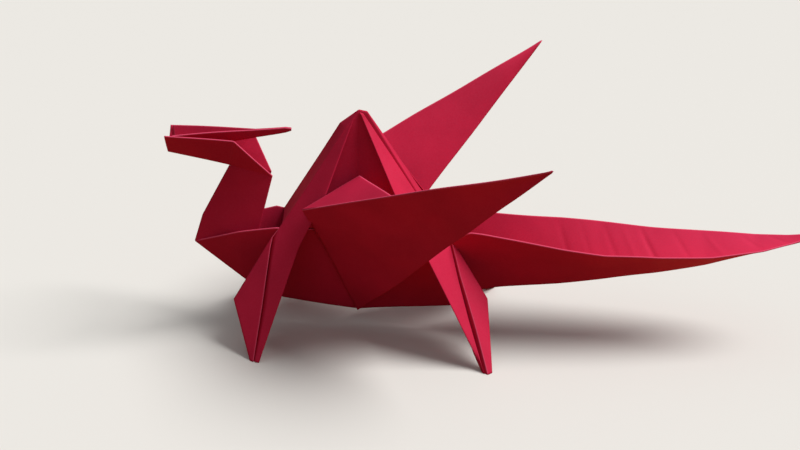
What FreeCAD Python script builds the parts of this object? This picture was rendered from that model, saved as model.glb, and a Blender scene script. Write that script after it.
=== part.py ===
# Folded paper dragon: one square of paper folded into a long trough with a
# tented back, four pointed legs, two wings, a neck and a horned head.
# X runs from the head (-) to the tail (+), Y across, Z up. Millimetres.
import FreeCAD, Part
import os

os.makedirs("parts", exist_ok=True)
doc = FreeCAD.newDocument("paper_dragon")

# Driving dimensions. "ahead" and "behind" are measured along X from the lowest
# point of the belly fold, "out" from the middle plane and "up" from the ground.
sizes = doc.addObject("Spreadsheet::Sheet", "Sizes")
DIMENSIONS = [
    ("paper_wall", 0.35, "thickness of the folded layers in the body, tail, neck and head"),
    ("leg_wall", 0.45, "thickness of the folded layers in a leg"),
    ("wing_wall", 0.30, "thickness of the two layers of a wing"),
    ("slit_width", 0.45, "gap between the two plies of a leg"),
    ("slit_depth", 0.22, "depth of that gap"),
    ("belly_up", 4.0, "lowest point of the belly fold"),
    ("chest_ahead", 18.4, "belly fold between the front legs"),
    ("chest_up", 6.4, "its height"),
    ("breast_ahead", 27.4, "belly fold below the breast"),
    ("breast_up", 10.8, "its height"),
    ("prow_ahead", 39.4, "front point of the trough, where the neck starts"),
    ("prow_up", 20.9, "its height"),
    ("breast_rim_ahead", 27.5, "middle of the breast's upper edge"),
    ("breast_rim_out", 4.4, "its half width"),
    ("breast_rim_up", 25.4, "its height"),
    ("shoulder_ahead", 18.2, "top of the front leg's slit"),
    ("shoulder_out", 6.6, "its half width"),
    ("shoulder_up", 27.5, "its height"),
    ("waist_out", 4.6, "half width of the trough below the peak"),
    ("waist_up", 27.2, "its height"),
    ("haunch_behind", 22.4, "top of the rear leg's slit"),
    ("haunch_out", 5.5, "its half width"),
    ("haunch_up", 24.7, "its height"),
    ("rump_up", 5.9, "belly fold between the rear legs"),
    ("peak_length", 2.2, "flat top of the tent, along X"),
    ("peak_behind", 0.7, "front end of that top"),
    ("peak_up", 55.0, "height of the tent"),
    ("root_behind", 30.0, "root of the tail"),
    ("root_keel_up", 10.3, "fold of the tail there"),
    ("root_lead", 3.2, "how far the corner of the edges lies ahead of the fold's"),
    ("root_out", 6.3, "half width of the edges at that corner"),
    ("root_rim_up", 28.1, "its height"),
    ("broad_behind", 48.2, "broad part of the tail"),
    ("broad_keel_up", 13.0, "fold of the tail there"),
    ("broad_out", 9.3, "half width of its edges there"),
    ("broad_rim_up", 26.0, "height of its edges there"),
    ("middle_behind", 70.7, "middle of the tail"),
    ("middle_keel_up", 16.6, "fold of the tail there"),
    ("middle_out", 9.2, "half width of its edges there"),
    ("middle_rim_up", 24.4, "height of its edges there"),
    ("slender_behind", 94.0, "slender part of the tail"),
    ("slender_keel_up", 22.6, "fold of the tail there"),
    ("slender_out", 4.8, "half width of its edges there"),
    ("slender_rim_up", 25.0, "height of its edges there"),
    ("tail_behind", 107.3, "tip of the tail"),
    ("tail_keel_up", 27.1, "fold of the tail there"),
    ("tail_out", 0.5, "half width of its edges there"),
    ("tail_rim_up", 27.9, "height of its edges there"),
    ("band_tuck", 0.1, "how far a band's upper edge lies inside the ridge that it starts from"),
    ("front_band_drop", 5.3, "start of the front leg's band, down the ridge from the peak"),
    ("rear_band_drop", 1.2, "start of the rear leg's band, down the ridge from the peak"),
    ("front_foot_ahead", 21.8, "point of the front leg"),
    ("front_foot_out", 21.1, "its distance from the middle plane"),
    ("front_crease_ahead", 12.1, "crease across the front leg's band, at its free edge"),
    ("front_crease_out", 11.6, "its distance from the middle plane"),
    ("front_crease_up", 25.2, "its height"),
    ("front_knee_ahead", 28.1, "outer corner of the front leg"),
    ("front_knee_out", 11.4, "its distance from the middle plane"),
    ("front_knee_up", 11.3, "its height"),
    ("rear_foot_behind", 32.3, "point of the rear leg"),
    ("rear_foot_out", 22.6, "its distance from the middle plane"),
    ("rear_crease_behind", 9.5, "corner in the free edge of the rear leg's band"),
    ("rear_crease_out", 8.6, "its distance from the middle plane"),
    ("rear_crease_up", 38.7, "its height"),
    ("rear_knee_behind", 31.6, "outer corner of the rear leg"),
    ("rear_knee_out", 9.0, "its distance from the middle plane"),
    ("rear_knee_up", 12.6, "its height"),
    ("foot_trim", 2.4, "length of the point that the ground takes off a leg"),
    ("wing_foot_out", 0.3, "lowest corner of the wing, beside the belly fold"),
    ("wing_foot_drop", 0.4, "how far that corner reaches below the fold"),
    ("wing_front_ahead", 11.1, "front corner of the wing"),
    ("wing_front_out", 10.0, "its distance from the middle plane"),
    ("wing_front_up", 34.2, "its height"),
    ("wing_tip_behind", 43.4, "point of the wing"),
    ("wing_tip_out", 46.4, "its distance from the middle plane"),
    ("wing_tip_up", 59.5, "its height"),
    ("roof_behind", 1.35, "top of the small roof that holds the wing"),
    ("roof_out", 4.8, "its distance from the middle plane"),
    ("roof_up", 40.7, "its height"),
    ("roof_share", 0.39, "rear end of that roof as a share of the wing's length"),
    ("roof_down", 0.03, "the same end as a share of the wing's depth"),
    ("nape_ahead", 29.7, "throat fold between the head and the neck"),
    ("nape_up", 40.7, "its height"),
    ("neck_bow_ahead", 37.1, "front fold of the neck, halfway down"),
    ("neck_bow_up", 27.6, "its height"),
    ("crown_ahead", 27.3, "upper corner where the head meets the neck"),
    ("crown_out", 4.1, "its half width"),
    ("crown_up", 47.8, "its height"),
    ("neck_back_ahead", 19.8, "rear corner of the neck"),
    ("neck_back_out", 1.5, "its half width"),
    ("neck_back_up", 38.9, "its height"),
    ("neck_foot_ahead", 23.9, "rear corner of the neck inside the trough"),
    ("neck_foot_out", 3.8, "its half width"),
    ("neck_foot_up", 22.0, "its height"),
    ("snout_ahead", 43.9, "upper corner of the snout"),
    ("snout_out", 3.5, "its half width"),
    ("snout_up", 48.7, "its height"),
    ("chin_ahead", 44.2, "chin, on the head's lower fold"),
    ("chin_up", 43.8, "its height"),
    ("horn_root_ahead", 42.2, "front end of the horn, inside the cheeks"),
    ("horn_root_out", 2.9, "half width of its edges there"),
    ("horn_root_keel_up", 43.3, "its lower fold there"),
    ("horn_root_rim_up", 49.2, "height of its edges there"),
    ("horn_mid_ahead", 23.3, "horn above the back of the neck"),
    ("horn_mid_out", 0.6, "half width of its edges there"),
    ("horn_mid_keel_up", 47.9, "its lower fold there"),
    ("horn_mid_rim_up", 49.8, "height of its edges there"),
    ("horn_tip_ahead", 14.9, "point of the horn"),
    ("horn_tip_out", 0.5, "half width of its edges there"),
    ("horn_tip_keel_up", 49.7, "its lower fold there"),
    ("horn_tip_rim_up", 50.4, "height of its edges there"),
]
for row, (alias, value, meaning) in enumerate(DIMENSIONS, start=1):
    sizes.set("A%d" % row, alias)
    sizes.set("B%d" % row, str(value))
    sizes.set("C%d" % row, meaning)
    sizes.setAlias("B%d" % row, alias)
doc.recompute()


def size(alias):
    """Value of one driving dimension."""
    return float(sizes.get(alias))


def point(behind, out, up):
    """A corner of the near side: out is measured towards the viewer, along -Y."""
    return FreeCAD.Vector(behind, -out, up)


def far(corner):
    """The same corner on the far side of the middle plane."""
    return FreeCAD.Vector(corner.x, -corner.y, corner.z)


def both(facets):
    """Near facets with their mirror images, turned to keep the outside outwards."""
    return facets + [tuple(far(corner) for corner in reversed(facet)) for facet in facets]


def key(corner):
    """Corners that meet in one place share this key."""
    return (round(corner.x, 4), round(corner.y, 4), round(corner.z, 4))


def face_normal(facet):
    """Unit normal of a triangular facet."""
    first, second, third = facet
    return (second - first).cross(third - first).normalize()


def mitres(facets):
    """Offset vector of each corner that moves all facets around it by one unit.

    It is the least squares solution of mitre . normal = 1 over those facets, and a
    small slack keeps it short where they lie in one plane.
    """
    around = {}
    for facet in facets:
        for corner in facet:
            around.setdefault(key(corner), []).append(face_normal(facet))
    slack = 0.02
    result = {}
    for place, normals in around.items():
        total = FreeCAD.Matrix()
        total.scale(slack, slack, slack)
        right = FreeCAD.Vector()
        for normal in normals:
            total.A11 += normal.x * normal.x
            total.A12 += normal.x * normal.y
            total.A13 += normal.x * normal.z
            total.A21 += normal.y * normal.x
            total.A22 += normal.y * normal.y
            total.A23 += normal.y * normal.z
            total.A31 += normal.z * normal.x
            total.A32 += normal.z * normal.y
            total.A33 += normal.z * normal.z
            right += normal
        result[place] = total.inverse().multVec(right)
    return result


def folded(facets, wall):
    """Closed solid of folded paper around the triangular facets of its middle surface."""
    mitre = mitres(facets)
    half = wall / 2.0

    def outer(corner):
        return corner + mitre[key(corner)] * half

    def inner(corner):
        return corner - mitre[key(corner)] * half

    edges = {}
    for facet in facets:
        for start, end in zip(facet, facet[1:] + facet[:1]):
            edges[(key(start), key(end))] = (start, end)
    triangles = []
    for first, second, third in facets:
        triangles.append((outer(first), outer(second), outer(third)))
        triangles.append((inner(first), inner(third), inner(second)))
    for (start_key, end_key), (start, end) in edges.items():
        if (end_key, start_key) not in edges:
            triangles.append((outer(end), outer(start), inner(start)))
            triangles.append((outer(end), inner(start), inner(end)))
    faces = [Part.Face(Part.makePolygon(list(t) + [t[0]])) for t in triangles]
    return Part.makeSolid(Part.makeShell(faces))


def flap(name, facets, wall):
    """One folded flap as a feature of the document."""
    feature = doc.addObject("Part::Feature", name)
    feature.Label = name
    feature.Shape = folded(facets, wall)
    feature.Placement = FreeCAD.Placement()
    return feature


# Corners on the middle plane: the belly fold from the prow to the tip of the tail
prow = point(-size("prow_ahead"), 0, size("prow_up"))
breast = point(-size("breast_ahead"), 0, size("breast_up"))
chest = point(-size("chest_ahead"), 0, size("chest_up"))
belly = point(0, 0, size("belly_up"))
rump = point(size("haunch_behind"), 0, size("rump_up"))
STATIONS = ("root", "broad", "middle", "slender", "tail")
keel = [point(size(s + "_behind"), 0, size(s + "_keel_up")) for s in STATIONS]

# Corners of the near edge of the trough, in the same order
breast_rim = point(-size("breast_rim_ahead"), size("breast_rim_out"), size("breast_rim_up"))
shoulder = point(-size("shoulder_ahead"), size("shoulder_out"), size("shoulder_up"))
waist = point(0, size("waist_out"), size("waist_up"))
haunch = point(size("haunch_behind"), size("haunch_out"), size("haunch_up"))
rim = [point(size(s + "_behind"), size(s + "_out"), size(s + "_rim_up")) for s in STATIONS]
rim[0] = point(size("root_behind") - size("root_lead"), size("root_out"), size("root_rim_up"))

# Top of the tent
peak_front = point(size("peak_behind"), 0, size("peak_up"))
peak_rear = point(size("peak_behind") + size("peak_length"), 0, size("peak_up"))

# Trough and tent: one surface from the breast to the tip of the tail
sides = [
    (prow, breast, breast_rim),
    (breast, chest, breast_rim),
    (chest, shoulder, breast_rim),
    (chest, belly, shoulder),
    (belly, waist, shoulder),
    (belly, haunch, waist),
    (belly, rump, haunch),
    (rump, keel[0], haunch),
    (keel[0], rim[0], haunch),
    (shoulder, waist, peak_front),
    (waist, haunch, peak_front),
    (haunch, peak_rear, peak_front),
]
for here in range(len(keel) - 1):
    sides.append((keel[here], keel[here + 1], rim[here + 1]))
    sides.append((keel[here], rim[here + 1], rim[here]))
ends = [
    (far(shoulder), shoulder, peak_front),
    (haunch, far(haunch), peak_rear),
]
trough = flap("trough", both(sides) + ends, size("paper_wall"))


def beyond(start, end, extra):
    """The point that lies a little past the end of a line."""
    return end + (end - start).normalize() * extra


def along(start, end, distance):
    """The point at a distance from the start of a line."""
    return start + (end - start).normalize() * distance


def tucked(corner):
    """A corner of the near ridge, moved a little towards the middle plane."""
    return corner + FreeCAD.Vector(0, size("band_tuck"), 0)


# Legs: a band from the peak to the foot and an outer ply beside the slit
front_foot = point(-size("front_foot_ahead"), size("front_foot_out"), 0)
front_slit = tucked(shoulder)
front_top = tucked(along(peak_front, shoulder, size("front_band_drop")))
front_point = beyond(front_top, front_foot, size("foot_trim"))
front_knee = point(-size("front_knee_ahead"), size("front_knee_out"), size("front_knee_up"))
rear_foot = point(size("rear_foot_behind"), size("rear_foot_out"), 0)
rear_slit = tucked(haunch)
rear_top = tucked(along(peak_front, haunch, size("rear_band_drop")))
rear_point = beyond(rear_top, rear_foot, size("foot_trim"))
rear_knee = point(size("rear_knee_behind"), size("rear_knee_out"), size("rear_knee_up"))
front_crease = point(-size("front_crease_ahead"), size("front_crease_out"), size("front_crease_up"))
rear_crease = point(size("rear_crease_behind"), size("rear_crease_out"), size("rear_crease_up"))
front_leg = [
    (front_top, front_slit, front_crease),
    (front_slit, front_point, front_crease),
    (front_slit, front_knee, front_point),
]
rear_leg = [
    (rear_top, rear_crease, rear_slit),
    (rear_slit, rear_crease, rear_point),
    (rear_slit, rear_point, rear_knee),
]


def slit(name, leg, top, foot):
    """Thin plate that stands on the fold of a leg and parts its two outer plies."""
    mitre = mitres(leg)
    floor = size("leg_wall") / 2.0 - size("slit_depth")
    height = size("leg_wall")
    past = beyond(top, foot, size("foot_trim"))
    below = past + mitre[key(foot)] * floor
    base = top + mitre[key(top)] * floor
    lifted = past + mitre[key(foot)] * height
    head = top + mitre[key(top)] * height
    return flap(name, [(base, below, lifted), (base, lifted, head)], size("slit_width"))


flaps = []
for name, panel, top, foot in (
    ("front_leg", front_leg, front_slit, front_point),
    ("rear_leg", rear_leg, rear_slit, rear_point),
):
    leg = doc.addObject("Part::Cut", name + "_near")
    leg.Base = flap(name + "_plies", panel, size("leg_wall"))
    leg.Tool = slit(name + "_slit", panel, top, foot)
    flaps.append(leg)

# Wings: the outer face, the small roof on the back and the layer behind it
wing_foot = point(0, size("wing_foot_out"), size("belly_up") - size("wing_foot_drop"))
wing_front = point(-size("wing_front_ahead"), size("wing_front_out"), size("wing_front_up"))
wing_tip = point(size("wing_tip_behind"), size("wing_tip_out"), size("wing_tip_up"))
roof_top = point(size("roof_behind"), size("roof_out"), size("roof_up"))
roof_end = (
    wing_front
    + (wing_tip - wing_front) * size("roof_share")
    + (wing_foot - wing_front) * size("roof_down")
)
wing = [(wing_foot, wing_tip, wing_front)]
roof = [(wing_front, roof_end, roof_top), (roof_top, roof_end, waist)]
for name, facets in (("wing", wing), ("wing_roof", roof)):
    flaps.append(flap(name + "_near", facets, size("wing_wall")))

# Neck and head: a trough folded forward at the throat
nape = point(-size("nape_ahead"), 0, size("nape_up"))
neck_bow = point(-size("neck_bow_ahead"), 0, size("neck_bow_up"))
crown = point(-size("crown_ahead"), size("crown_out"), size("crown_up"))
neck_back = point(-size("neck_back_ahead"), size("neck_back_out"), size("neck_back_up"))
neck_foot = point(-size("neck_foot_ahead"), size("neck_foot_out"), size("neck_foot_up"))
snout = point(-size("snout_ahead"), size("snout_out"), size("snout_up"))
chin = point(-size("chin_ahead"), 0, size("chin_up"))
head_side = [
    (prow, neck_foot, neck_bow),
    (neck_bow, neck_foot, neck_back),
    (neck_bow, neck_back, nape),
    (nape, neck_back, crown),
    (nape, crown, snout),
    (nape, snout, chin),
]
neck = flap("neck_and_head", both(head_side), size("paper_wall"))

# Horn: the tip of the paper, folded back inside the cheeks
HORN = ("horn_root", "horn_mid", "horn_tip")
horn_keel = [point(-size(s + "_ahead"), 0, size(s + "_keel_up")) for s in HORN]
horn_rim = [point(-size(s + "_ahead"), size(s + "_out"), size(s + "_rim_up")) for s in HORN]
horn_side = []
for here in range(len(HORN) - 1):
    horn_side.append((horn_keel[here], horn_keel[here + 1], horn_rim[here + 1]))
    horn_side.append((horn_keel[here], horn_rim[here + 1], horn_rim[here]))
horn = flap("horn", both(horn_side), size("paper_wall"))

# The near half: everything on the viewer's side of the middle plane, above the ground
near_side = doc.addObject("Part::MultiFuse", "near_side")
near_side.Shapes = [trough] + flaps + [neck, horn]
room = doc.addObject("Part::Box", "near_room")
room.setExpression("Length", "2 * (Sizes.tail_behind + Sizes.snout_ahead)")
room.setExpression("Width", "2 * Sizes.wing_tip_out")
room.setExpression("Height", "2 * (Sizes.peak_up + Sizes.wing_tip_up)")
room.setExpression(".Placement.Base.x", "-Length / 2")
room.setExpression(".Placement.Base.y", "-Width")
near_half = doc.addObject("Part::Common", "near_half")
near_half.Base = near_side
near_half.Tool = room

# The far half is its mirror image, and both are one sheet
far_half = doc.addObject("Part::Mirroring", "far_half")
far_half.Source = near_half
far_half.Normal = FreeCAD.Vector(0, 1, 0)
folded_sheet = doc.addObject("Part::Fuse", "folded_sheet")
folded_sheet.Label = "folded_sheet"
folded_sheet.Base = near_half
folded_sheet.Tool = far_half
folded_sheet.setExpression(".Placement.Base.x", "(Sizes.snout_ahead - Sizes.tail_behind) / 2 * 1mm")
doc.recompute()

# Only sound shapes are written
for item in doc.Objects:
    if "Invalid" in item.State or "Error" in item.State:
        raise RuntimeError("%s failed to build" % item.Name)
    if hasattr(item, "Shape") and (item.Shape.isNull() or not item.Shape.isValid()):
        raise RuntimeError("%s has no sound shape" % item.Name)
if len(folded_sheet.Shape.Solids) != 1:
    raise RuntimeError("the sheet is in %d pieces" % len(folded_sheet.Shape.Solids))
folded_sheet.Shape.exportStep("parts/folded_sheet.step")
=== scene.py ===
import math
import bmesh
import bpy
import numpy as np
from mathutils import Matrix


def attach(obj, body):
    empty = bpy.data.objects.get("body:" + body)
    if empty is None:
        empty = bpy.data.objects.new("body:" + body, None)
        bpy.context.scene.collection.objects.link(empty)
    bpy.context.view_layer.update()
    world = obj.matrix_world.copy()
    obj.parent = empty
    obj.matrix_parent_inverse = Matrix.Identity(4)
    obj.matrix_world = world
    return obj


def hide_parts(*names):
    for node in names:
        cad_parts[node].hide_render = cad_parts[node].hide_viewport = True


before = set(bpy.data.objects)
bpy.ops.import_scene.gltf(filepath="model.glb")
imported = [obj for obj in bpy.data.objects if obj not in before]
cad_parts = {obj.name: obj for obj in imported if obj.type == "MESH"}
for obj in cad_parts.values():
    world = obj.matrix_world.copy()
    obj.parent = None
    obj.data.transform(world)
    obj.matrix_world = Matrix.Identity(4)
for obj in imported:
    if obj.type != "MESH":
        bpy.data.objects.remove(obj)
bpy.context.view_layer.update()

scene = bpy.context.scene
scene.view_settings.view_transform = "Standard"


# Trough: breast, body sides and tail, one V-shaped strip of crimson paper, matt, finely
# fibrous, with a painted highlight along its rims. Its edge lines run along the object. Every
# other piece is a strip of the same sheet too, and its folds hold it.
def paper(name, body, pale, highlit_rims):
    """Procedural folding paper: mottled body colour, painted lighter towards the tail's end as
    painted light, and a painted highlight along the rims.

    Fine fibres and soft dents raise the surface, and its gloss is uneven. Scales are per
    metre and heights in metres.
    """
    mottle_scale = 70.0
    dent_scale = 120.0
    gloss_scale = 240.0
    fibre_scale = 2600.0
    dent_height = 0.0004
    fibre_height = 0.00003
    mottle_shade = 0.84
    material = bpy.data.materials.new(name)
    material.use_nodes = True
    nodes, links = material.node_tree.nodes, material.node_tree.links
    shader = nodes["Principled BSDF"]
    shader.inputs["Specular IOR Level"].default_value = 0.08
    place = nodes.new("ShaderNodeTexCoord")

    def noise(scale, detail):
        node = nodes.new("ShaderNodeTexNoise")
        node.inputs["Scale"].default_value = scale
        node.inputs["Detail"].default_value = detail
        links.new(place.outputs["Object"], node.inputs["Vector"])
        return node.outputs["Fac"]

    def remap(value, low, high, to_low, to_high):
        node = nodes.new("ShaderNodeMapRange")
        node.inputs["From Min"].default_value = low
        node.inputs["From Max"].default_value = high
        node.inputs["To Min"].default_value = to_low
        node.inputs["To Max"].default_value = to_high
        links.new(value, node.inputs["Value"])
        return node.outputs["Result"]

    def blend(factor, first, second):
        node = nodes.new("ShaderNodeMix")
        node.data_type = "RGBA"
        links.new(factor, node.inputs[0])
        for socket, colour in ((node.inputs[6], first), (node.inputs[7], second)):
            if isinstance(colour, tuple):
                socket.default_value = colour
            else:
                links.new(colour, socket)
        return node.outputs[2]

    def bump(height, strength, distance):
        node = nodes.new("ShaderNodeBump")
        node.inputs["Strength"].default_value = strength
        node.inputs["Distance"].default_value = distance
        links.new(height, node.inputs["Height"])
        return node

    deep = tuple(mottle_shade * c for c in body[:3]) + (1.0,)
    mottled = blend(remap(noise(mottle_scale, 3.0), 0.35, 0.65, 0.0, 1.0), deep, body)
    fibre = noise(fibre_scale, 4.0)
    apart = nodes.new("ShaderNodeSeparateXYZ")
    links.new(place.outputs["Object"], apart.inputs[0])
    # Painted light: towards the tail's end the colour turns to the paler pink, standing in for the
    # brighter light the tail catches.
    tail_painted_light = blend(remap(apart.outputs["X"], 0.008, 0.066, 0.0, 0.85), mottled, pale)
    # Fibre flecks take a touch of the pale rim colour at random, as the paper's own grain.
    fine = blend(remap(fibre, 0.3, 0.7, 0.0, 0.06), tail_painted_light, highlit_rims)
    near_edge = nodes.new("ShaderNodeAttribute")
    near_edge.attribute_name = "edge_mm"
    # Painted highlight: within about 0.3 mm of the listed rims and corners the colour turns towards
    # the pale rim colour, standing in for light on the rounded folds.
    rim_highlight = remap(near_edge.outputs["Fac"], 0.05, 0.28, 0.50, 0.0)
    links.new(blend(rim_highlight, fine, highlit_rims), shader.inputs["Base Color"])
    links.new(remap(noise(gloss_scale, 2.0), 0.3, 0.7, 0.60, 0.74), shader.inputs["Roughness"])
    grain = bump(fibre, 0.30, fibre_height)
    dents = bump(noise(dent_scale, 1.0), 0.35, dent_height)
    links.new(dents.outputs["Normal"], grain.inputs["Normal"])
    links.new(grain.outputs["Normal"], shader.inputs["Normal"])
    return material


# Colours: the body crimson; the paler pink, painted towards the tail's end as painted light; the pale
# rim colour, painted on the rims as a highlight and shared by the fibre flecks.
crimson = paper(
    "crimson_paper", (0.60, 0.015, 0.060, 1.0), (0.86, 0.040, 0.12, 1.0), (0.85, 0.13, 0.24, 1.0)
)


def along(line, u):
    """Points at u of a line, which is a list of stops (u, point) joined by straight runs."""
    at, where = zip(*line)
    return np.stack([np.interp(u, at, [p[k] for p in where]) for k in range(3)], -1)


def strip(lines, count=12, rows=40, highlit_rims=(), ends=(), bow=0.0, ring=0.25, pair=0.008):
    """Folded strip: P(u, v) = (1 - v) A(u) + v B(u) between each line A and the next, B.

    The steps of v are even but for one of ring mm beside each line, and the steps of u
    have a close pair at each stop. bow pushes P along the strip's normal by
    bow * 4 v (1 - v) mm. The second result is the distance in mm to the nearest line or
    end that carries the painted rim highlight, or far_from_highlight where there is none.
    """
    far_from_highlight = 9.0
    stops = np.unique([u for line in lines for u, _ in line])
    u = np.concatenate([np.linspace(0, 1, rows), stops, stops - pair, stops + pair])
    u = np.unique(np.clip(u, 0, 1))
    paths = [along(line, u) for line in lines]
    points, highlight_distance = [], []
    for index, (a, b) in enumerate(zip(paths, paths[1:])):
        width = np.linalg.norm(b - a, axis=-1)[:, None]
        edge = np.minimum(ring / np.maximum(width, 1e-6), 0.2)
        even = edge + (1 - 2 * edge) * np.linspace(0, 1, count - 1)[None, :]
        v = np.concatenate([0 * edge, even, 0 * edge + 1], axis=1)
        patch = a[:, None] * (1 - v[..., None]) + b[:, None] * v[..., None]
        normal = np.cross(b - a, np.gradient(a + b, axis=0))
        normal /= np.maximum(np.linalg.norm(normal, axis=-1, keepdims=True), 1e-9)
        patch = patch + normal[:, None] * (bow * 4 * v * (1 - v))[..., None]
        # Distance in mm to the lines that carry the painted rim highlight.
        near_a = v * width if index in highlit_rims else far_from_highlight + 0 * v
        near_b = (1 - v) * width if index + 1 in highlit_rims else far_from_highlight + 0 * v
        first = 0 if index == 0 else 1
        points.append(patch[:, first:])
        highlight_distance.append(np.minimum(near_a, near_b)[:, first:])
    points, highlight_distance = np.concatenate(points, axis=1), np.concatenate(highlight_distance, axis=1)
    for end in ends:
        highlight_distance = np.minimum(highlight_distance, np.linalg.norm(points - points[end], axis=-1))
    return points, highlight_distance


def buckle(points):
    """Soft unevenness of the sheet: each coordinate is moved by a sine of the place."""
    wave_height = 0.10
    ways = np.array([[0.21, 0.05, 0.02], [0.13, 0.31, -0.22], [0.05, -0.11, 0.27]])
    return points + wave_height * np.sin(points @ ways)[..., [1, 2, 0]]


def paper_piece(name, grids, wall):
    """One folded piece: grids of middle-surface points in mm, welded and given a wall.

    The points are measured from the belly point, which is 31.7 mm ahead of the frame's origin.
    """
    to_frame = np.array([-31.7, 0.0, 0.0])
    weld_distance = 2e-6
    sliver_length = 1e-7
    first = 0
    faces = []
    for points, _ in grids:
        rows, columns = points.shape[:2]
        i, j = np.meshgrid(np.arange(rows - 1), np.arange(columns - 1), indexing="ij")
        k = first + i * columns + j
        faces.append(np.stack([k, k + columns, k + columns + 1, k + 1], -1).reshape(-1, 4))
        first += rows * columns
    verts = buckle(np.concatenate([points.reshape(-1, 3) for points, _ in grids]))
    verts = (verts + to_frame) / 1000.0
    mesh = bpy.data.meshes.new(name)
    mesh.from_pydata(verts.tolist(), [], np.concatenate(faces).tolist())
    # The distance to the nearest highlit rim goes to edge_mm, which drives the painted rim highlight.
    edge = mesh.attributes.new("edge_mm", "FLOAT", "POINT")
    edge.data.foreach_set("value", np.concatenate([highlight_distance.ravel() for _, highlight_distance in grids]))
    work = bmesh.new()
    work.from_mesh(mesh)
    bmesh.ops.remove_doubles(work, verts=work.verts, dist=weld_distance)
    bmesh.ops.dissolve_degenerate(work, edges=work.edges, dist=sliver_length)
    bmesh.ops.recalc_face_normals(work, faces=work.faces)
    for face in work.faces:
        face.smooth = True
    work.to_mesh(mesh)
    work.free()
    piece = bpy.data.objects.new(name, mesh)
    scene.collection.objects.link(piece)
    mesh.materials.append(crimson)
    solid = piece.modifiers.new("wall", "SOLIDIFY")
    solid.thickness = wall / 1000.0
    solid.offset = 0.0
    solid.use_rim = True
    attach(piece, "root")
    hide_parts("folded_sheet")
    return piece


def tail_sheet(side, creasing, rows=220, columns=20, ring=0.25):
    """One side of the tail: straight lines from the belly fold to the rim at each x.

    Fold and rim are smooth curves through the stations. Cross wrinkles, each a bell of
    x that leans back towards the fold, fade at fold and rim.
    """
    station = np.array([22.4, 26.8, 30.0, 34.0, 48.2, 58.0, 70.7, 82.5, 94.0, 101.2, 107.3])
    keel_up = np.array([5.9, 8.6, 10.5, 11.3, 13.0, 14.4, 16.6, 19.2, 22.6, 25.0, 27.1])
    rim_out = np.array([5.5, 6.3, 6.7, 7.2, 9.2, 9.8, 8.8, 7.4, 4.8, 2.3, 0.5])
    rim_up = np.array([24.7, 28.1, 27.9, 27.4, 26.0, 25.0, 24.4, 24.4, 25.0, 26.3, 27.9])
    wrinkle = np.array([47.6, 52.8, 58.6, 63.0, 67.4, 75.0, 82.4, 90.4, 96.6])
    height = np.array([0.18, 0.10, 0.16, -0.12, 0.34, 0.16, -0.12, 0.12, 0.10])
    lean = 5.0
    crease_width = 0.55
    x = np.linspace(station[0], station[-1], rows)
    kernel = np.hanning(9)

    def curve(values):
        padded = np.pad(np.interp(x, station, values), 4, mode="reflect", reflect_type="odd")
        return np.convolve(padded, kernel / kernel.sum(), mode="valid")

    keel = np.stack([x, 0 * x, curve(keel_up)], -1)
    rim = np.stack([x, side * curve(rim_out), curve(rim_up)], -1)
    width = np.linalg.norm(rim - keel, axis=-1)[:, None]
    edge = np.minimum(ring / width, 0.2)
    even = edge + (1 - 2 * edge) * np.linspace(0, 1, columns - 2)[None, :]
    t = np.concatenate([0 * edge, even, 0 * edge + 1], axis=1)
    points = keel[:, None, :] * (1 - t[..., None]) + rim[:, None, :] * t[..., None]
    leaning = x[:, None] - lean * (1 - t)
    bells = np.exp(-(((leaning[..., None] - wrinkle) / crease_width) ** 2)) @ height
    points[..., 1] += side * creasing * bells * 4 * t * (1 - t)
    # The second result, the distance in mm to the rim, drives the painted rim highlight.
    return points, (1 - t) * width


prow, breast_fold, chest = (-39.4, 0, 20.9), (-27.4, 0, 10.8), (-18.4, 0, 6.4)
belly, rump = (0, 0, 4.0), (22.4, 0, 5.9)
shoulder, waist, haunch = (-18.2, -6.6, 27.8), (0, -4.6, 27.2), (22.4, -5.5, 24.7)
far_shoulder, far_waist, far_haunch = (-18.2, 6.6, 27.5), (0, 4.6, 27.2), (22.4, 5.5, 24.7)
belly_fold = [(0, prow), (0.2, breast_fold), (0.35, chest), (0.65, belly), (1, rump)]
near_edge = [(0, prow), (0.2, (-27.5, -4.4, 25.4)), (0.35, shoulder), (0.65, waist), (1, haunch)]
far_edge = [
    (0, prow), (0.2, (-27.5, 4.4, 25.4)), (0.26, (-23.4, 5.8, 27.3)), (0.31, (-20.2, 6.4, 28.0)),
    (0.35, far_shoulder), (0.65, far_waist), (1, far_haunch),
]
body = strip([near_edge, belly_fold, far_edge], 18, 60, (0, 2))
trough = paper_piece("trough", [body, tail_sheet(-1.0, 0.35), tail_sheet(1.0, 1.0)], wall=0.35)


# Tent: the back of the object, one ring of paper that closes at the peak. Its front
# and rear faces are narrow, and each side is a recess with a soft upright crease.
peak, peak_rear = (0.9, 0, 55.0), (2.7, 0, 54.7)
near_front = [(0, (-16.9, -6.4, 28.1)), (0.85, (-1.9, -1.1, 51.0)), (1, peak)]
far_front = [(0, far_shoulder), (0.85, (-3.7, 1.2, 51.2)), (1, peak)]
near_side, far_side = [(0, waist), (1, peak)], [(0, far_waist), (1, peak)]
near_rear, far_rear = [(0, haunch), (1, peak_rear)], [(0, (20.9, 5.5, 24.7)), (1, peak_rear)]
ring_of_lines = [far_front, near_front, near_side, near_rear, far_rear, far_side, far_front]
tent = paper_piece("tent", [strip(ring_of_lines, 14, 50, (4,))], wall=0.3)


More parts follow.
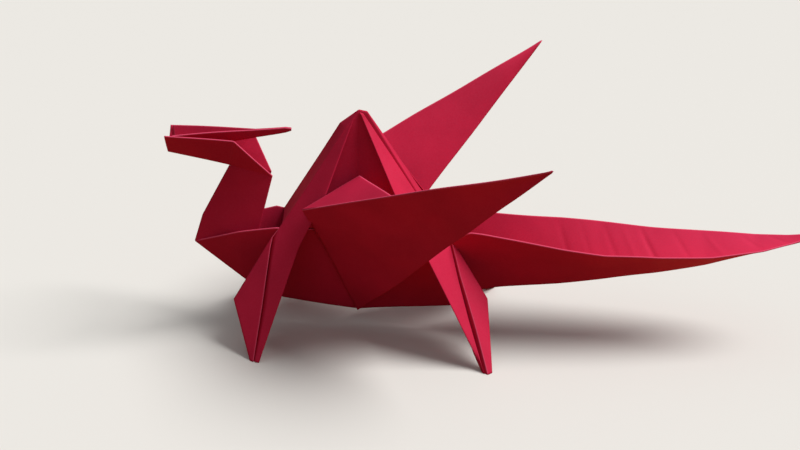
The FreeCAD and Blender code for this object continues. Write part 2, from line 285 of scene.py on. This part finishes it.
# Legs: each is one flattened fold. A band runs from the peak to the foot, an outer ply
# stands beside it, and both edges turn in at a dark open slit between the two.
def leg_piece(name, band_edge, band_lip, ply_lip, ply_edge, left_lip, sink):
    """Near leg as a closed ring of six lines, with its mirror image for the far leg.

    The band lies between band_edge and band_lip, and the ply between ply_lip and
    ply_edge. The slit's bottom is the left lip moved by the vector sink, and the back
    layer lies a little deeper. Both come in over the first 0.08 of the slit.
    """
    back_share = 1.25
    back_gap = 0.08
    foot_depth = 0.4
    start = ply_lip[1][0]
    full = start + 0.08
    fading = 0.9
    u = np.unique([stop for line in (band_lip, ply_lip) for stop, _ in line] + [full, fading])
    depth = np.interp(u, [0, start, full, fading, 1], [0, 0, 1, 1, foot_depth])[:, None]
    deep = np.array(sink)
    bottom = along(left_lip, u) + deep * depth
    behind = (along(band_lip, u) + along(ply_lip, u)) / 2 + deep * (back_share * depth + back_gap)
    bottom_line = list(zip(u, bottom))
    back_line = list(zip(u, behind))
    lines = [band_edge, band_lip, bottom_line, ply_lip, ply_edge, back_line, band_edge]
    # The ply's lip at the slit carries the painted rim highlight.
    points, highlight_distance = strip(lines, 8, 60, (3,))
    mirrored = points * np.array([1.0, -1.0, 1.0])
    return paper_piece(name, [(points, highlight_distance), (mirrored, highlight_distance)], wall=0.12)


front_top, front_slit = (0.1, -0.25, 54.0), (-17.6, -6.6, 27.6)
front_ply_lip = [
    (0, front_top), (0.40, front_slit), (0.45, (-19.0, -7.5, 25.7)), (0.5, (-19.4, -8.7, 23.4)),
    (0.75, (-20.7, -15.2, 11.0)), (0.95, (-21.8, -19.8, 2.4)), (1, (-22.1, -21.0, 0.1)),
]
front_legs = leg_piece(
    "front_legs",
    [
        (0, front_top), (0.25, (-6.0, -7.2, 37.2)), (0.40, (-12.2, -11.2, 25.0)),
        (1, (-20.7, -21.4, 0.1)),
    ],
    [
        (0, front_top), (0.40, front_slit), (0.45, (-18.2, -7.7, 25.4)), (0.57, (-18.9, -10.6, 20.1)),
        (0.75, (-19.6, -15.3, 11.1)), (0.95, (-21.2, -19.8, 2.5)), (1, (-21.6, -21.2, 0.1)),
    ],
    front_ply_lip,
    [
        (0, front_top), (0.40, front_slit), (0.45, (-19.1, -7.5, 25.7)),
        (0.75, (-28.1, -11.4, 11.3)), (1, (-22.9, -20.6, 0.1)),
    ],
    front_ply_lip, (-0.5, 1.5, -0.7),
)
rear_top, rear_slit = (1.8, -0.3, 54.3), (20.6, -5.1, 27.4)
rear_band_lip = [
    (0, rear_top), (0.36, rear_slit), (0.41, (22.5, -5.6, 24.5)), (0.56, (24.6, -10.1, 17.7)),
    (0.75, (27.3, -15.3, 10.1)), (0.94, (30.3, -20.5, 2.6)), (1, (31.4, -22.2, 0.1)),
]
rear_legs = leg_piece(
    "rear_legs",
    [
        (0, (1.1, -0.4, 54.6)), (0.25, (9.5, -8.4, 38.6)), (0.40, (17.9, -14.0, 24.2)),
        (1, (31.0, -20.9, 0.1)),
    ],
    rear_band_lip,
    [
        (0, rear_top), (0.36, rear_slit), (0.41, (23.1, -5.8, 24.6)), (0.55, (25.1, -9.8, 18.6)),
        (0.66, (27.1, -13.2, 13.7)), (0.79, (29.2, -16.9, 8.4)), (0.95, (31.5, -21.2, 2.0)),
        (1, (32.2, -22.5, 0.1)),
    ],
    [
        (0, rear_top), (0.36, rear_slit), (0.41, (23.1, -4.7, 25.0)),
        (0.75, (31.6, -9.0, 12.6)), (1, (33.1, -21.6, 0.1)),
    ],
    rear_band_lip, (-1.1, 1.5, -0.9),
)


# Wings: a triangle of two layers on the belly fold, slightly bowed, that reaches
# up and back. The near one's lower edge swells out a little.
wing_tip, far_wing_tip = (43.4, -46.4, 59.5), (43.4, 46.4, 59.5)
wing_front, far_wing_front = (-11.2, -9.9, 34.2), (-11.1, 10.6, 35.3)
near_wing = [
    [(0, wing_front), (1, wing_tip)],
    [
        (0, (0, -0.3, 3.6)), (0.25, (11.3, -11.6, 17.1)), (0.5, (22.6, -23.1, 32.1)),
        (0.75, (33.2, -34.8, 45.9)), (1, wing_tip),
    ],
]
far_wing = [[(0, far_wing_front), (1, far_wing_tip)], [(0, (-4.0, 0.3, 4.3)), (1, far_wing_tip)]]
wing_bow = 0.35
near_sheet = strip(near_wing, 24, 70, (0,), bow=-wing_bow)
far_sheet = strip(far_wing, 24, 70, (0,), bow=wing_bow)
wings = paper_piece("wings", [near_sheet, far_sheet], wall=0.3)


# Wing roofs: the small folded roof below the peak that carries each wing, of the
# same paper, with its ridge towards the peak and one layer falling to the body.
roof_end, far_roof_end = (10.5, -23.6, 43.7), (2.9, 19.0, 41.2)
near_roof = [
    [(0, wing_front), (1, roof_end)],
    [(0, (1.35, -4.8, 40.7)), (1, roof_end)],
    [(0, waist), (1, roof_end)],
]
far_roof = [
    [(0, far_wing_front), (1, far_roof_end)],
    [(0, (1.35, 4.8, 40.7)), (1, far_roof_end)],
    [(0, far_waist), (1, far_roof_end)],
]
near_fold = strip(near_roof, 16, 40, (1,), (0,))
far_fold = strip(far_roof, 16, 40, (1,))
roofs = paper_piece("wing_roofs", [near_fold, far_fold], wall=0.22)


# Neck and head: one V-shaped strip, open behind the neck and on top of the head,
# folded forward at the throat, in the same paper.
bow, nape, chin = (-37.1, 0, 27.7), (-29.7, 0, 40.7), (-44.2, 0, 43.8)
neck_foot, far_neck_foot = (-24.3, -2.9, 21.5), (-25.5, 2.9, 21.5)
neck_back, far_neck_back = (-19.5, -1.5, 38.9), (-20.3, 1.5, 38.9)
neck = strip(
    [
        [(0, neck_foot), (0.45, neck_foot), (1, neck_back)],
        [(0, prow), (0.45, bow), (1, nape)],
        [(0, far_neck_foot), (0.45, far_neck_foot), (1, far_neck_back)],
    ],
    16, 50,
)
head = strip(
    [
        [
            (0, neck_back), (0.35, (-27.3, -4.1, 47.8)), (0.37, (-27.9, -3.5, 47.8)),
            (1, (-43.9, -3.5, 48.7)),
        ],
        [(0, nape), (0.35, nape), (0.37, (-30.1, 0, 40.8)), (1, chin)],
        [
            (0, far_neck_back), (0.35, (-24.6, 4.0, 47.8)), (0.37, (-25.2, 3.4, 47.8)),
            (1, (-44.1, 3.5, 49.0)),
        ],
    ],
    16, 50, (0, 2), (-1,),
)
neck_and_head = paper_piece("neck_and_head", [neck, head], wall=0.3)


# Horn: the tip of the paper, folded back between the cheeks as a narrow trough
# that closes to a blunt point behind the head.
horn_fold = [
    (0, (-42.2, 0, 43.6)), (0.68, (-23.3, 0, 47.9)), (0.94, (-16.2, 0, 49.3)),
    (1, (-14.9, 0, 49.75)),
]
near_rim = [
    (0, (-42.2, -2.9, 48.6)), (0.68, (-23.3, -0.6, 49.8)), (0.94, (-16.2, -0.45, 50.5)),
    (1, (-14.9, -0.3, 50.3)),
]
far_rim = [
    (0, (-43.3, 2.9, 49.2)), (0.68, (-23.3, 0.6, 49.7)), (0.94, (-16.2, 0.45, 50.4)),
    (1, (-14.9, 0.3, 50.3)),
]
horn = paper_piece("horn", [strip([near_rim, horn_fold, far_rim], 12, 50, (0, 2), (0, -1))], wall=0.3)


# Floor: a pale, plain, matt ground that isn't part of the object. It sends back less
# light than it shows, so the undersides keep their depth.
bpy.ops.mesh.primitive_plane_add(size=8.0, location=(0, 0, 0))
floor = bpy.context.object
floor.name = "floor"
pale = bpy.data.materials.new("pale_floor")
pale.use_nodes = True
ground, link = pale.node_tree.nodes, pale.node_tree.links
ray = ground.new("ShaderNodeLightPath")
shade = ground.new("ShaderNodeMix")
shade.data_type = "RGBA"
shade.inputs[6].default_value = (0.31, 0.13, 0.055, 1)
shade.inputs[7].default_value = (0.76, 0.735, 0.69, 1)
link.new(ray.outputs["Is Camera Ray"], shade.inputs[0])
link.new(shade.outputs[2], ground["Principled BSDF"].inputs["Base Color"])
ground["Principled BSDF"].inputs["Roughness"].default_value = 0.9
ground["Principled BSDF"].inputs["Specular IOR Level"].default_value = 0.1
floor.data.materials.append(pale)

# Light: one broad soft source high on the right, and a weak dome of light that is
# brighter overhead than at the horizon. The camera sees it as a pale backdrop.
lamp = bpy.data.lights.new("key", "SUN")
lamp.energy = 3.3
lamp.angle = math.radians(32)
key = bpy.data.objects.new("key", lamp)
to_key = np.array([0.62, 0.05, 0.78])
tilt = math.atan2(math.hypot(to_key[0], to_key[1]), to_key[2])
key.rotation_euler = (tilt, 0, math.atan2(to_key[1], to_key[0]) + math.pi / 2)
scene.collection.objects.link(key)
world = bpy.data.worlds.new("surround")
world.use_nodes = True
sky, join = world.node_tree.nodes, world.node_tree.links
direction, parts = sky.new("ShaderNodeTexCoord"), sky.new("ShaderNodeSeparateXYZ")
join.new(direction.outputs["Generated"], parts.inputs[0])
dome = sky.new("ShaderNodeMapRange")
dome.inputs["To Min"].default_value = 0.06
dome.inputs["To Max"].default_value = 0.42
join.new(parts.outputs["Z"], dome.inputs["Value"])
seen = sky.new("ShaderNodeLightPath")
level = sky.new("ShaderNodeMix")
level.inputs[3].default_value = 0.80
join.new(seen.outputs["Is Camera Ray"], level.inputs[0])
join.new(dome.outputs["Result"], level.inputs[2])
join.new(level.outputs[0], sky["Background"].inputs["Strength"])
sky["Background"].inputs["Color"].default_value = (0.97, 0.98, 1.0, 1)
scene.world = world

# Camera: from the near side, 24 degrees above the ground and a little to the right,
# as the photograph was taken.
pitch, yaw = math.radians(24.0), math.radians(4.62)
eye = bpy.data.cameras.new("camera")
eye.sensor_width = 36.0
eye.lens = 56.475
camera = bpy.data.objects.new("camera", eye)
camera.location = (0.00052, -0.27093, 0.14765)
camera.rotation_euler = (math.pi / 2 - pitch, 0, yaw)
scene.collection.objects.link(camera)
scene.camera = camera
